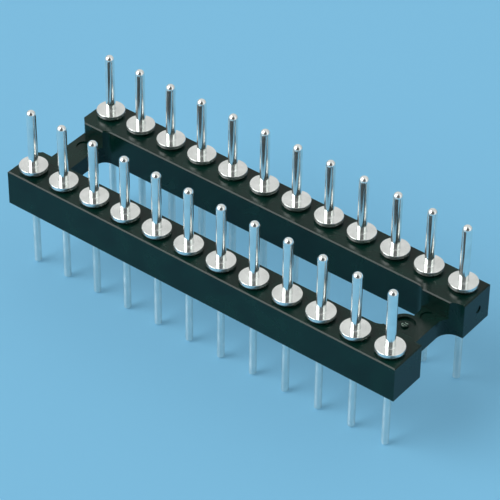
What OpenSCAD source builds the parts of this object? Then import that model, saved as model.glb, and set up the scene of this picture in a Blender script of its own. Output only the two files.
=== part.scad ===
// Dual-in-line pin header: two rows of turned pins pressed into an open moulded frame.
// Millimetres. The rows run along X and Z points up. The header stands on its tail tips at z = 0,
// with the origin under the middle of the frame and the notched end of the frame at +X.

/* [Pin rows] */
// Number of pins in each row
pins_per_row = 12; // [4:1:20]
// Distance from one pin to the next along a row
pitch = 2.54; // [2.3:0.01:3.2]
// Distance between the two rows, centre to centre
row_spacing = 7.62; // [6.8:0.02:15.24]

/* [Turned pins] */
// Diameter of the upper post
post_d = 0.64; // [0.4:0.02:0.8]
// Length of the upper post above the collar's face, round tip included
post_len = 4.25; // [2:0.05:8]
// Radius of the hollow fillet at the foot of the post
post_foot_r = 0.08; // [0.02:0.01:0.15]
// Diameter of the collar
collar_d = 1.88; // [1.7:0.02:2.1]
// Height of the collar's straight rim
collar_h = 0.25; // [0.2:0.01:0.8]
// Width of the bevel on the collar's upper edge
collar_bevel = 0.05; // [0.02:0.01:0.12]
// Height of the tapered relief between the rim and the rail
relief_h = 0.18; // [0.1:0.02:0.5]
// Width of the ring round the barrel on which the collar seats
seat_w = 0.11; // [0.05:0.01:0.15]
// Diameter of the barrel that is pressed into the rail
barrel_d = 1.30; // [1:0.02:1.4]
// Length of barrel that shows under the frame
barrel_stub = 0.15; // [0.05:0.05:0.5]
// Length of the cone from the barrel to the tail
taper_len = 0.45; // [0.2:0.05:1]
// Diameter of the solder tail
tail_d = 0.48; // [0.3:0.02:0.7]
// Length of the tail from the underside of the frame to its tip, stub and cone included
tail_len = 4.95; // [2:0.05:8]
// Width of the bevel on the tail's tip
tail_bevel = 0.10; // [0.04:0.02:0.14]
// Radial room between the barrel and its hole
press_clearance = 0.02; // [0.01:0.01:0.05]

/* [Frame] */
// Height of the rails
frame_h = 2.54; // [1.6:0.02:4]
// Distance from the last pin's centre to the end of the frame
end_margin = 1.20; // [1.1:0.05:2]
// Distance from a row's centre line to the outer face of its rail
outer_margin = 1.17; // [1:0.01:2]
// Distance from a row's centre line to the inner face of its rail
inner_margin = 1.57; // [1:0.01:1.8]
// Width of the bevel along the top edges of the rails
edge_bevel = 0.07; // [0.04:0.01:0.2]

/* [End bars] */
// Height of the two end bars above the underside
bar_h = 1.22; // [0.8:0.02:1.5]
// Width of the bar at the plain end, which is flush with the rail ends
plain_bar_w = 1.80; // [1.2:0.05:2.4]
// Width of the bar at the notched end
notched_bar_w = 1.50; // [1.2:0.05:2.4]
// Depth of the orientation notch behind the rail ends
notch_depth = 1.26; // [0.8:0.02:2]
// Radius of the notch's inner corners
notch_r = 1.00; // [0.4:0.05:1.2]
// Radius of the window's corners
window_r = 0.75; // [0.4:0.05:1.2]
// How far the rails step inwards above the bars
shoulder_w = 0.25; // [0.1:0.05:0.5]
// Size of the corner cut where the shoulders meet the plain end
shoulder_cut = 0.50; // [0.2:0.05:0.8]

/* [Moulding marks] */
// Diameter of the gate ear on the notched bar
ear_d = 1.90; // [1.4:0.05:2.2]
// Diameter of the sunk ring round the gate
gate_d = 1.36; // [1:0.02:1.36]
// Diameter of the gate's broken stub
gate_stub_d = 0.50; // [0.3:0.05:0.8]
// Depth of the sunk ring
gate_depth = 0.16; // [0.05:0.01:0.3]
// Height of the broken stub above the bottom of the ring
gate_stub_h = 0.11; // [0.04:0.01:0.14]
// Diameter of the ejector marks on the bars
ejector_d = 1.00; // [0.6:0.05:1.1]
// Depth of the ejector marks
ejector_depth = 0.08; // [0.03:0.01:0.2]
// Distance of an ejector mark from the middle of its bar
ejector_offset = 1.38; // [1.2:0.02:1.4]
// Diameter of the vent mark on one rail end
vent_d = 0.50; // [0.3:0.05:0.8]
// Depth of the vent mark
vent_depth = 0.06; // [0.03:0.01:0.15]

/* [Hidden] */
$fn = 64;
pin_count = 2 * pins_per_row;
function pin_name(i) = str("pin_", i < 10 ? "0" : "", i);

moulding_black = [0.10, 0.12, 0.12];
plated_silver = [0.82, 0.82, 0.80];

// Places along X and Y
row_y = row_spacing / 2;
first_pin_x = -(pins_per_row - 1) * pitch / 2;
half_len = -first_pin_x + end_margin;
outer_y = row_y + outer_margin;
inner_y = row_y - inner_margin;
shoulder_y = inner_y - shoulder_w;
window_x0 = -half_len + plain_bar_w;
notch_x = half_len - notch_depth;
window_x1 = notch_x - notched_bar_w;

// Levels, from the tail tips up
under_z = tail_len;
rail_top_z = under_z + frame_h;
face_z = rail_top_z + relief_h + collar_h;
tip_z = face_z + post_len;

// How far a cut runs past the surface that it opens
past = 0.5;

// Half section of one turned pin: radius along X, height along Y
module pin_section() {
    post_r = post_d / 2;
    tail_r = tail_d / 2;
    barrel_r = barrel_d / 2;
    collar_r = collar_d / 2;
    cone_z = under_z - barrel_stub;
    polygon([
        [0, 0],
        [tail_r - tail_bevel, 0],
        [tail_r, tail_bevel],
        [tail_r, cone_z - taper_len],
        [barrel_r, cone_z],
        [barrel_r, rail_top_z],
        [barrel_r + seat_w, rail_top_z],
        [collar_r, rail_top_z + relief_h],
        [collar_r, face_z - collar_bevel],
        [collar_r - collar_bevel, face_z],
        [post_r, face_z],
        [post_r, tip_z - post_r],
        [0, tip_z - post_r],
    ]);
    translate([0, tip_z - post_r])
        intersection() {
            circle(post_r);
            square(post_r);
        }
    translate([post_r, face_z])
        difference() {
            square(post_foot_r);
            translate([post_foot_r, post_foot_r]) circle(post_foot_r);
        }
}

// Pins are counted along the front row from the plain end, then back along the rear row
module pin(i) {
    in_front = i <= pins_per_row;
    place = in_front ? i - 1 : pin_count - i;
    color(plated_silver)
        translate([first_pin_x + place * pitch, in_front ? -row_y : row_y, 0])
            rotate_extrude() pin_section();
}

// A flat opening from x0 to x1 with four round corners
module round_cornered(x0, x1, half_w, r) {
    translate([x0 + r, -half_w]) square([x1 - x0 - 2 * r, 2 * half_w]);
    translate([x0, r - half_w]) square([x1 - x0, 2 * (half_w - r)]);
    for (x = [x0 + r, x1 - r], y = [r - half_w, half_w - r])
        translate([x, y]) circle(r);
}

// Outline of the frame from above: the rectangle less its window and its notch
module frame_outline() {
    difference() {
        translate([-half_len, -outer_y]) square([2 * half_len, 2 * outer_y]);
        round_cornered(window_x0, window_x1, inner_y, window_r);
        round_cornered(notch_x, half_len + notch_r + past, inner_y, notch_r);
    }
}

// Section of the frame across one direction, with both top edges bevelled
module bevelled_section(half_w) {
    polygon([
        [-half_w, 0],
        [half_w, 0],
        [half_w, frame_h - edge_bevel],
        [half_w - edge_bevel, frame_h],
        [edge_bevel - half_w, frame_h],
        [-half_w, frame_h - edge_bevel],
    ]);
}

// The frame's block with every outer top edge bevelled
module frame_block() {
    intersection() {
        linear_extrude(frame_h) frame_outline();
        rotate([90, 0, 90])
            linear_extrude(2 * half_len + 2 * past, center = true) bevelled_section(outer_y);
        rotate([90, 0, 0])
            linear_extrude(2 * outer_y + 2 * past, center = true) bevelled_section(half_len);
    }
}

// Bevel along the window's long top edges and round its corners
module window_edge_cuts() {
    straight = window_x1 - window_x0 - 2 * window_r;
    for (side = [0, 1])
        mirror([0, side, 0]) {
            translate([window_x0 + window_r, inner_y, frame_h])
                rotate([90, 0, 90])
                    linear_extrude(straight)
                        polygon([
                            [-past, past],
                            [-past, -edge_bevel],
                            [0, -edge_bevel],
                            [edge_bevel, 0],
                            [edge_bevel, past],
                        ]);
            for (x = [window_x0 + window_r, window_x1 - window_r])
                translate([x, inner_y - window_r, frame_h - edge_bevel])
                    cylinder(r1 = window_r, r2 = window_r + edge_bevel + past, h = edge_bevel + past);
        }
}

// Room above an end bar, between the shoulders of the rails, whose top edges are bevelled
module bar_recess(x0, x1) {
    translate([x0, 0, 0])
        rotate([90, 0, 90])
            linear_extrude(x1 - x0)
                polygon([
                    [-shoulder_y, bar_h],
                    [shoulder_y, bar_h],
                    [shoulder_y, frame_h - edge_bevel],
                    [shoulder_y + edge_bevel + past, frame_h + past],
                    [-shoulder_y - edge_bevel - past, frame_h + past],
                    [-shoulder_y, frame_h - edge_bevel],
                ]);
}

// Corner cuts that open the recess towards the plain end
module shoulder_cuts() {
    translate([-half_len, 0, bar_h])
        linear_extrude(frame_h)
            polygon([
                [-past, -shoulder_y - shoulder_cut - past],
                [shoulder_cut, -shoulder_y],
                [shoulder_cut, shoulder_y],
                [-past, shoulder_y + shoulder_cut + past],
            ]);
}

// Sunk round marks left by the mould on the bars and on one rail end
module mould_marks() {
    plain_bar_x = window_x0 - plain_bar_w / 2;
    notched_bar_x = window_x1 + notched_bar_w / 2;
    for (x = [plain_bar_x, notched_bar_x], y = [-ejector_offset, ejector_offset])
        translate([x, y, bar_h - ejector_depth]) cylinder(d = ejector_d, h = frame_h);
    translate([window_x1, 0, bar_h - gate_depth])
        difference() {
            cylinder(d = gate_d, h = frame_h);
            translate([0, 0, -past]) cylinder(d = gate_stub_d, h = past + gate_stub_h);
        }
    translate([half_len - vent_depth, row_y, frame_h / 2])
        rotate([0, 90, 0]) cylinder(d = vent_d, h = past);
}

// Holes that take the pins' barrels
module pin_holes() {
    for (place = [0 : pins_per_row - 1], y = [-row_y, row_y])
        translate([first_pin_x + place * pitch, y, -past])
            cylinder(r = barrel_d / 2 + press_clearance, h = frame_h + 2 * past);
}

module frame() {
    color(moulding_black)
        translate([0, 0, under_z])
            difference() {
                union() {
                    frame_block();
                    translate([window_x1, 0, 0]) cylinder(d = ear_d, h = bar_h);
                }
                window_edge_cuts();
                bar_recess(-half_len - past, window_x0 + past);
                bar_recess(window_x1 - past, notch_x + past);
                shoulder_cuts();
                mould_marks();
                pin_holes();
            }
}

frame();
for (i = [1 : pin_count])
    pin(i);
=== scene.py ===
import math

import bpy
import numpy as np
from mathutils import Matrix, Vector


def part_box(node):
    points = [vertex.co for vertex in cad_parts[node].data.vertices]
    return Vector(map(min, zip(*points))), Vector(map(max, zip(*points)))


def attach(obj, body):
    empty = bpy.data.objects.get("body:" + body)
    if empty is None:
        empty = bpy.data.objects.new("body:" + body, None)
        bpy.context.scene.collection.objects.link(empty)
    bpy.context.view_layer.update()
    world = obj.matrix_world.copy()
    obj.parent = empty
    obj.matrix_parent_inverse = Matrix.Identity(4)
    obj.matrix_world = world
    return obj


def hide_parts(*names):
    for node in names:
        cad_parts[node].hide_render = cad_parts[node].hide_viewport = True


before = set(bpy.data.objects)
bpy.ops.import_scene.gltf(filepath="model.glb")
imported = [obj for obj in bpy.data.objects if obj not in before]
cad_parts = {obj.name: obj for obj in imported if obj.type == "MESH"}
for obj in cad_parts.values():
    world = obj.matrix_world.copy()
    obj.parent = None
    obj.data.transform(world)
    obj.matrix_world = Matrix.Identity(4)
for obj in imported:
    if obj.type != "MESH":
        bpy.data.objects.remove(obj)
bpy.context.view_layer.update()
MM = 0.001
# Nearly all values of a noise texture lie between these two
noise_range = (0.3, 0.7)

# The frame: one open moulding of black thermoplastic, two rails joined by two low end bars.
# The steel mould leaves a half-gloss skin with faint flow marks and a fine, slightly uneven grain.
# The gate was broken off the notched bar, and pale flecks round its stub are painted highlights standing for
# glints on its torn surface.
flow_mark_size = 2.2 * MM
grain_size = 0.09 * MM
grain_height = 0.01 * MM
grain_strength = 0.12
skin_roughness = (0.20, 0.30)
skin_ior = 1.33
skin_dark = (0.0003, 0.0120, 0.0085, 1.0)
skin_light = (0.0010, 0.0220, 0.0155, 1.0)
# painted highlight: the pale colour below and the ball round the gate stub paint the stub's glints as flecks
painted_glint_pale = (0.24, 0.33, 0.28, 1.0)
gate_stub = Vector((12.41, 0.00, 6.12)) * MM
glint_full_r = 0.200 * MM
glint_end_r = 0.275 * MM
fleck_size = 0.15 * MM
fleck_limits = (0.38, 0.56)


def add_node(tree, kind, **settings):
    """A new shader node of that kind with its settings; a setting in capitals names an input socket."""
    node = tree.nodes.new(kind)
    for name, value in settings.items():
        if name[0].isupper():
            node.inputs[name.replace("_", " ")].default_value = value
        else:
            setattr(node, name, value)
    return node


def add_ramp(tree, stops):
    """A colour ramp through the stops, each a position from 0 to 1 and a colour."""
    ramp = add_node(tree, "ShaderNodeValToRGB")
    elements = ramp.color_ramp.elements
    for position, _ in stops[1:-1]:
        elements.new(position)
    elements[0].position = stops[0][0]
    elements[-1].position = stops[-1][0]
    for element, (_, colour) in zip(elements, stops):
        element.color = colour
    return ramp


def new_material(name):
    """An empty material and its Principled shader, already joined to the output."""
    material = bpy.data.materials.new(name)
    material.use_nodes = True
    return material, material.node_tree, material.node_tree.nodes["Principled BSDF"]


def moulded_skin():
    """Near-black colour and roughness drift with broad flow marks; a fine grain lifts the surface.
    Where the gate was broken off, pale flecks painted as highlights fill a small ball round its stub."""
    material, tree, skin = new_material("moulded_black_skin")
    skin.inputs["IOR"].default_value = skin_ior
    place = add_node(tree, "ShaderNodeTexCoord")
    flow = add_node(tree, "ShaderNodeTexNoise", Scale=1 / flow_mark_size, Detail=4.0, Distortion=0.6)
    # painted highlight: the ramp's last, pale stop paints the glint flecks round the gate stub
    tone = add_ramp(tree, [(0.35, skin_dark), (0.72, skin_light), (0.80, skin_light), (1.00, painted_glint_pale)])
    away = add_node(tree, "ShaderNodeVectorMath", operation="DISTANCE")
    away.inputs[1].default_value = gate_stub
    near = add_node(
        tree,
        "ShaderNodeMapRange",
        From_Min=glint_full_r,
        From_Max=glint_end_r,
        To_Min=1.0,
        To_Max=0.0,
    )
    fleck = add_node(tree, "ShaderNodeTexNoise", Scale=1 / fleck_size, Detail=1.0)
    painted_glint = add_node(tree, "ShaderNodeMapRange", From_Min=fleck_limits[0], From_Max=fleck_limits[1])
    paler = add_node(tree, "ShaderNodeMath", operation="MAXIMUM")
    gloss = add_node(
        tree,
        "ShaderNodeMapRange",
        From_Min=noise_range[0],
        From_Max=noise_range[1],
        To_Min=skin_roughness[0],
        To_Max=skin_roughness[1],
    )
    grain = add_node(tree, "ShaderNodeTexNoise", Scale=1 / grain_size, Detail=2.0)
    lift = add_node(tree, "ShaderNodeBump", Strength=grain_strength, Distance=grain_height)
    link = tree.links.new
    link(place.outputs["Object"], flow.inputs["Vector"])
    link(place.outputs["Object"], grain.inputs["Vector"])
    link(place.outputs["Object"], away.inputs[0])
    link(place.outputs["Object"], fleck.inputs["Vector"])
    link(away.outputs["Value"], near.inputs["Value"])
    link(fleck.outputs["Fac"], painted_glint.inputs["Value"])
    link(near.outputs["Result"], painted_glint.inputs["To Max"])
    link(flow.outputs["Fac"], paler.inputs[0])
    link(painted_glint.outputs["Result"], paler.inputs[1])
    link(paler.outputs["Value"], tone.inputs["Fac"])
    link(flow.outputs["Fac"], gloss.inputs["Value"])
    link(grain.outputs["Fac"], lift.inputs["Height"])
    link(tone.outputs["Color"], skin.inputs["Base Color"])
    link(gloss.outputs["Result"], skin.inputs["Roughness"])
    link(lift.outputs["Normal"], skin.inputs["Normal"])
    return material


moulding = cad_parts["frame"]
moulding.data.materials.clear()
moulding.data.materials.append(moulded_skin())

# The pins: turned from brass bar in one piece and tin plated, then pressed into the rails.
# The post has a round tip, the collar a faced top with tool rings, and the tail a bevelled tip.
# Radii and heights are in millimetres, as in the part's source.
post_r = 0.32
collar_r = 0.94
barrel_r = 0.65
tail_r = 0.24
tail_bevel = 0.10
cone_low_z = 4.35
cone_high_z = 4.80
seat_z = 7.49
seat_r = 0.76
rim_low_z = 7.67
face_z = 7.92
foot_fillet = 0.08
tip_z = 12.17
edge_round = 0.035
face_edge_r = collar_r - 3 * edge_round
# Room taken by the rounding at each corner, from the tail's tip up to the collar's upper edge
corner_cuts = (0.03, 0.03, 0.10, 0.05, 0.04, 0.03, 0.03, edge_round)
# A stretch of the section longer than four of these gets a point this far inside each of its ends
brace = 0.012
face_points, foot_points, tip_points = 41, 9, 17
sides = 64
ring_pitch = 0.16
ring_depth = 0.003
mark_pitch = 0.05
mark_depth = 0.0002
finishes = (
    # height, share of the tool marks' depth, roughness: tail, rim, face, post, tip
    (0.00, 0.0, 0.22),
    (7.40, 0.0, 0.22),
    (7.50, 0.1, 0.17),
    (7.87, 0.1, 0.17),
    (7.90, 0.1, 0.12),
    (7.97, 0.1, 0.12),
    (8.15, 1.0, 0.07),
    (11.84, 1.0, 0.07),
    (11.98, 0.0, 0.12),
    (12.17, 0.0, 0.12),
)
tin_dark = (0.79, 0.82, 0.80, 1.0)
tin_light = (0.92, 0.95, 0.93, 1.0)
tin_metallic = 0.90
tin_brushed = 1.0
cloud_size = 0.9 * MM
gloss_drift = (0.85, 1.2)


def rounded(corners, cut, steps=5):
    """Corner points softened: each is replaced by a quadratic curve between the points that lie a cut before
    and a cut after it."""
    corners = np.asarray(corners, float)
    before, here, after = corners[:-2], corners[1:-1], corners[2:]
    into = (before - here) / np.linalg.norm(before - here, axis=1)[:, None]
    away = (after - here) / np.linalg.norm(after - here, axis=1)[:, None]
    cut = np.broadcast_to(np.asarray(cut, float), len(here))[:, None]
    s = np.linspace(0, 1, steps)[None, :, None]
    start, end = (here + into * cut)[:, None], (here + away * cut)[:, None]
    curve = (1 - s) ** 2 * start + 2 * s * (1 - s) * here[:, None] + s ** 2 * end
    return np.concatenate([corners[:1], curve.reshape(-1, 2), corners[-1:]])


def braced(section):
    """Each long straight stretch of a section gets a point a brace inside each end, so that smooth shading
    rounds the corners only and leaves the stretch straight."""
    start, end = section[:-1], section[1:]
    length = np.linalg.norm(end - start, axis=1)
    inside = (end - start) / length[:, None] * brace
    points = np.stack([start, start + inside, end - inside], axis=1)
    stretch = length > 4 * brace
    kept = np.stack([np.ones_like(stretch), stretch, stretch], axis=1)
    return np.concatenate([points[kept], section[-1:]])


def pin_profile():
    """Half section of a pin from the middle of the tail's end to the top of its round tip: radius and height.
    The rings on the collar's face are the square of a sine of the radius."""
    lower = rounded(
        [
            (0, 0),
            (tail_r - tail_bevel, 0),
            (tail_r, tail_bevel),
            (tail_r, cone_low_z),
            (barrel_r, cone_high_z),
            (barrel_r, seat_z),
            (seat_r, seat_z),
            (collar_r, rim_low_z),
            (collar_r, face_z),
            (face_edge_r, face_z),
        ],
        corner_cuts,
    )
    face_r = np.linspace(face_edge_r, post_r + foot_fillet, face_points)
    rings = ring_depth * np.sin(np.pi * (face_r - post_r) / ring_pitch) ** 2
    face = np.stack([face_r, face_z - rings], axis=1)
    turn = np.linspace(0, np.pi / 2, foot_points)
    foot_r = post_r + foot_fillet * (1 - np.sin(turn))
    foot = np.stack([foot_r, face_z + foot_fillet * (1 - np.cos(turn))], axis=1)
    turn = np.linspace(0, np.pi / 2, tip_points)
    tip = np.stack([post_r * np.cos(turn), tip_z - post_r + post_r * np.sin(turn)], axis=1)
    tip[-1, 0] = 0
    return braced(np.concatenate([lower[:-1], face, foot[1:], tip]))


def turned_mesh(name, profile, axis_x, axis_y):
    """A profile carried round an upright axis: x and y are the axis plus the radius times cosine and sine.
    The profile's two ends lie on the axis and close the surface; U follows the profile and V the turn."""
    angle = np.arange(sides) * 2 * np.pi / sides
    radius, height = profile[1:-1, 0], profile[1:-1, 1]
    ring_x = axis_x + radius[:, None] * np.cos(angle)
    ring_y = axis_y + radius[:, None] * np.sin(angle)
    ring_z = np.broadcast_to(height[:, None], ring_x.shape)
    rings = np.stack([ring_x, ring_y, ring_z], axis=2).reshape(-1, 3)
    poles = [[axis_x, axis_y, profile[0, 1]], [axis_x, axis_y, profile[-1, 1]]]
    vertices = np.concatenate([rings, poles]) * MM
    count = len(radius)
    low, high = count * sides, count * sides + 1
    here = np.arange(sides)
    following = (here + 1) % sides
    row = np.arange(count - 1)[:, None] * sides
    quads = np.stack([row + here, row + following, row + sides + following, row + sides + here], axis=2)
    base = (count - 1) * sides
    bottom = np.stack([np.full(sides, low), following, here], axis=1)
    top = np.stack([np.full(sides, high), base + here, base + following], axis=1)
    mesh = bpy.data.meshes.new(name)
    mesh.from_pydata(vertices.tolist(), [], quads.reshape(-1, 4).tolist() + bottom.tolist() + top.tolist())
    along = np.concatenate([[0], np.cumsum(np.linalg.norm(np.diff(profile, axis=0), axis=1))])
    along /= along[-1]
    u0, u1 = (np.broadcast_to(u[:, None], (count - 1, sides)) for u in (along[1:-2], along[2:-1]))
    v0 = here / sides
    v1 = (here + 1) / sides
    v0_grid, v1_grid = (np.broadcast_to(v, (count - 1, sides)) for v in (v0, v1))
    quad_uv = np.stack([u0, v0_grid, u0, v1_grid, u1, v1_grid, u1, v0_grid], axis=2)
    middle = (v0 + v1) / 2
    bottom_uv = np.stack([0 * v0, middle, 0 * v0 + along[1], v1, 0 * v0 + along[1], v0], axis=1)
    top_uv = np.stack([0 * v0 + 1, middle, 0 * v0 + along[-2], v0, 0 * v0 + along[-2], v1], axis=1)
    loops = np.concatenate([quad_uv.ravel(), bottom_uv.ravel(), top_uv.ravel()])
    mesh.uv_layers.new(name="turning").data.foreach_set("uv", loops)
    mesh.shade_smooth()
    return mesh


def bright_tin(length):
    """Tin plating over tool marks: fine rings, a saw along the profile, full on the post, faint on the collar
    and none on the tail and the burnished tip. Each height has its own gloss, drawn out along the pin by the
    turning; colour and gloss drift with a cloud of the bath."""
    material, tree, tin = new_material("bright_tin_plating")
    tin.inputs["Metallic"].default_value = tin_metallic
    tin.inputs["Anisotropic"].default_value = tin_brushed
    uv = add_node(tree, "ShaderNodeUVMap", uv_map="turning")
    lay = add_node(tree, "ShaderNodeTangent", direction_type="UV_MAP", uv_map="turning")
    place = add_node(tree, "ShaderNodeTexCoord")
    cloud = add_node(tree, "ShaderNodeTexNoise", Scale=1 / cloud_size, Detail=3.0)
    tone = add_ramp(tree, [(noise_range[0], tin_dark), (noise_range[1], tin_light)])
    level = add_node(tree, "ShaderNodeSeparateXYZ")
    height = add_node(tree, "ShaderNodeMapRange", From_Min=0.0, From_Max=tip_z * MM)
    finish = add_ramp(tree, [(z / tip_z, (marked, roughness, 0.0, 1.0)) for z, marked, roughness in finishes])
    parts = add_node(tree, "ShaderNodeSeparateColor")
    drift = add_node(
        tree,
        "ShaderNodeMapRange",
        From_Min=noise_range[0],
        From_Max=noise_range[1],
        To_Min=gloss_drift[0],
        To_Max=gloss_drift[1],
    )
    gloss = add_node(tree, "ShaderNodeMath", operation="MULTIPLY")
    tool = add_node(
        tree,
        "ShaderNodeTexWave",
        wave_type="BANDS",
        bands_direction="X",
        wave_profile="SAW",
        Distortion=0.0,
    )
    # A wave texture repeats every pi / 10 over its scale, and U runs from 0 to 1 over the profile's length
    tool.inputs["Scale"].default_value = math.pi / 10 * length / mark_pitch
    marks = add_node(tree, "ShaderNodeBump", Distance=mark_depth * MM)
    link = tree.links.new
    link(place.outputs["Object"], cloud.inputs["Vector"])
    link(cloud.outputs["Fac"], tone.inputs["Fac"])
    link(cloud.outputs["Fac"], drift.inputs["Value"])
    link(place.outputs["Object"], level.inputs["Vector"])
    link(level.outputs["Z"], height.inputs["Value"])
    link(height.outputs["Result"], finish.inputs["Fac"])
    link(finish.outputs["Color"], parts.inputs["Color"])
    link(parts.outputs["Red"], marks.inputs["Strength"])
    link(parts.outputs["Green"], gloss.inputs[0])
    link(drift.outputs["Result"], gloss.inputs[1])
    link(uv.outputs["UV"], tool.inputs["Vector"])
    link(tool.outputs["Fac"], marks.inputs["Height"])
    link(tone.outputs["Color"], tin.inputs["Base Color"])
    link(gloss.outputs["Value"], tin.inputs["Roughness"])
    link(lay.outputs["Tangent"], tin.inputs["Tangent"])
    link(marks.outputs["Normal"], tin.inputs["Normal"])
    return material


profile = pin_profile()
tin = bright_tin(np.linalg.norm(np.diff(profile, axis=0), axis=1).sum())
for node in sorted(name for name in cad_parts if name.startswith("pin_")):
    low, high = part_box(node)
    middle = (low + high) / 2 / MM
    pin = bpy.data.objects.new("turned_" + node, turned_mesh("turned_" + node, profile, middle.x, middle.y))
    bpy.context.scene.collection.objects.link(pin)
    pin.data.materials.append(tin)
    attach(pin, "root")
    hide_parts(node)

# The floor: a sheet of plain pale blue paper under the tail tips, wide enough to fill every view.
# It is seen and mirrored a little more evenly than it is lit, and it keeps the header's soft shadow.
floor_half = 0.9
paper_blue = (0.196, 0.485, 0.710, 1.0)
paper_roughness = 0.7
paper_sheen = 0.1
even_share = 0.38
corner = np.array([[-1, -1, 0], [1, -1, 0], [1, 1, 0], [-1, 1, 0]]) * floor_half
floor_mesh = bpy.data.meshes.new("paper_floor")
floor_mesh.from_pydata(corner.tolist(), [], [(0, 1, 2, 3)])
floor = bpy.data.objects.new("paper_floor", floor_mesh)
bpy.context.scene.collection.objects.link(floor)
paper, paper_tree, paper_skin = new_material("blue_paper")
paper_skin.inputs["Base Color"].default_value = paper_blue
paper_skin.inputs["Roughness"].default_value = paper_roughness
paper_skin.inputs["Specular IOR Level"].default_value = paper_sheen
seen = add_node(paper_tree, "ShaderNodeEmission", Color=paper_blue)
rays = add_node(paper_tree, "ShaderNodeLightPath")
any_seen = add_node(paper_tree, "ShaderNodeVectorMath", operation="LENGTH")
rays_seen = add_node(paper_tree, "ShaderNodeCombineXYZ")
share = add_node(paper_tree, "ShaderNodeMapRange", From_Min=0.0, From_Max=1.0, To_Min=0.0, To_Max=even_share)
paper_mix = add_node(paper_tree, "ShaderNodeMixShader")
for axis, ray in zip("XYZ", ("Is Camera Ray", "Is Glossy Ray", "Is Transmission Ray")):
    paper_tree.links.new(rays.outputs[ray], rays_seen.inputs[axis])
paper_tree.links.new(rays_seen.outputs["Vector"], any_seen.inputs[0])
paper_tree.links.new(any_seen.outputs["Value"], share.inputs["Value"])
paper_tree.links.new(share.outputs["Result"], paper_mix.inputs["Fac"])
paper_tree.links.new(paper_skin.outputs["BSDF"], paper_mix.inputs[1])
paper_tree.links.new(seen.outputs["Emission"], paper_mix.inputs[2])
paper_tree.links.new(paper_mix.outputs["Shader"], paper_tree.nodes["Material Output"].inputs["Surface"])
floor.data.materials.append(paper)

# The light: a white tent, lit from outside, with a bright lamp at its front left and paler panels behind
# and right. It is open round the camera, so that side is dark. It is part of the studio.
tent_white = (1.0, 1.0, 0.99, 1.0)
tent_level = 0.60
panels = (
    # towards, half width of the even part and of the soft edge in degrees, level added
    ((-0.50, -0.58, 0.64), 12, 32, 5.0),
    ((-0.47, 0.61, 0.64), 20, 55, 0.10),
    ((0.78, -0.05, 0.62), 20, 45, 0.45),
)
openings = (
    # towards, half width of the even part and of the soft edge in degrees, share of the light left
    ((0.47, -0.61, 0.64), 26, 44, 0.05),
)
world = bpy.data.worlds.new("studio")
bpy.context.scene.world = world
world.use_nodes = True
sky = world.node_tree
glow = sky.nodes["Background"]
glow.inputs["Color"].default_value = tent_white
towards = add_node(sky, "ShaderNodeTexCoord")


def soft_disc(direction, inner, outer, level_out, level_in):
    """A level that goes from one value to another inside a soft-edged disc of the sky: a smooth step of the
    cosine between the view and the disc's middle."""
    facing = add_node(sky, "ShaderNodeVectorMath", operation="DOT_PRODUCT")
    facing.inputs[1].default_value = Vector(direction).normalized()
    step = add_node(
        sky,
        "ShaderNodeMapRange",
        interpolation_type="SMOOTHSTEP",
        From_Min=math.cos(math.radians(outer)),
        From_Max=math.cos(math.radians(inner)),
        To_Min=level_out,
        To_Max=level_in,
    )
    sky.links.new(towards.outputs["Generated"], facing.inputs[0])
    sky.links.new(facing.outputs["Value"], step.inputs["Value"])
    return step.outputs["Result"]


def joined(operation, first, second):
    """One math node over two levels."""
    node = add_node(sky, "ShaderNodeMath", operation=operation)
    for socket, value in zip(node.inputs, (first, second)):
        if isinstance(value, float):
            socket.default_value = value
        else:
            sky.links.new(value, socket)
    return node.outputs["Value"]


level = tent_level
for direction, inner, outer, added in panels:
    level = joined("ADD", level, soft_disc(direction, inner, outer, 0.0, added))
for direction, inner, outer, left in openings:
    level = joined("MULTIPLY", level, soft_disc(direction, inner, outer, 1.0, left))
sky.links.new(level, glow.inputs["Strength"])

# The camera: a long lens above the front of the header and off its notched end.
# Its place, turn and lens were fitted to the places of the pins and corners in the photo.
aim = Vector((0.67, -0.14, 6.00)) * MM
distance = 167.6 * MM
azimuth = math.radians(37.50)
elevation = math.radians(39.42)
roll = math.radians(0.68)
sensor_width = 36.0
lens = 193.3
back = Vector(
    (
        math.sin(azimuth) * math.cos(elevation),
        -math.cos(azimuth) * math.cos(elevation),
        math.sin(elevation),
    )
)
camera_data = bpy.data.cameras.new("camera")
camera_data.sensor_width = sensor_width
camera_data.lens = lens
camera_data.clip_start = 0.01
camera_data.clip_end = 5.0
camera = bpy.data.objects.new("camera", camera_data)
bpy.context.scene.collection.objects.link(camera)
turn = (-back).to_track_quat("-Z", "Y").to_matrix().to_4x4() @ Matrix.Rotation(roll, 4, "Z")
camera.matrix_world = Matrix.Translation(aim + back * distance) @ turn
bpy.context.scene.camera = camera
bpy.context.scene.view_settings.view_transform = "Standard"
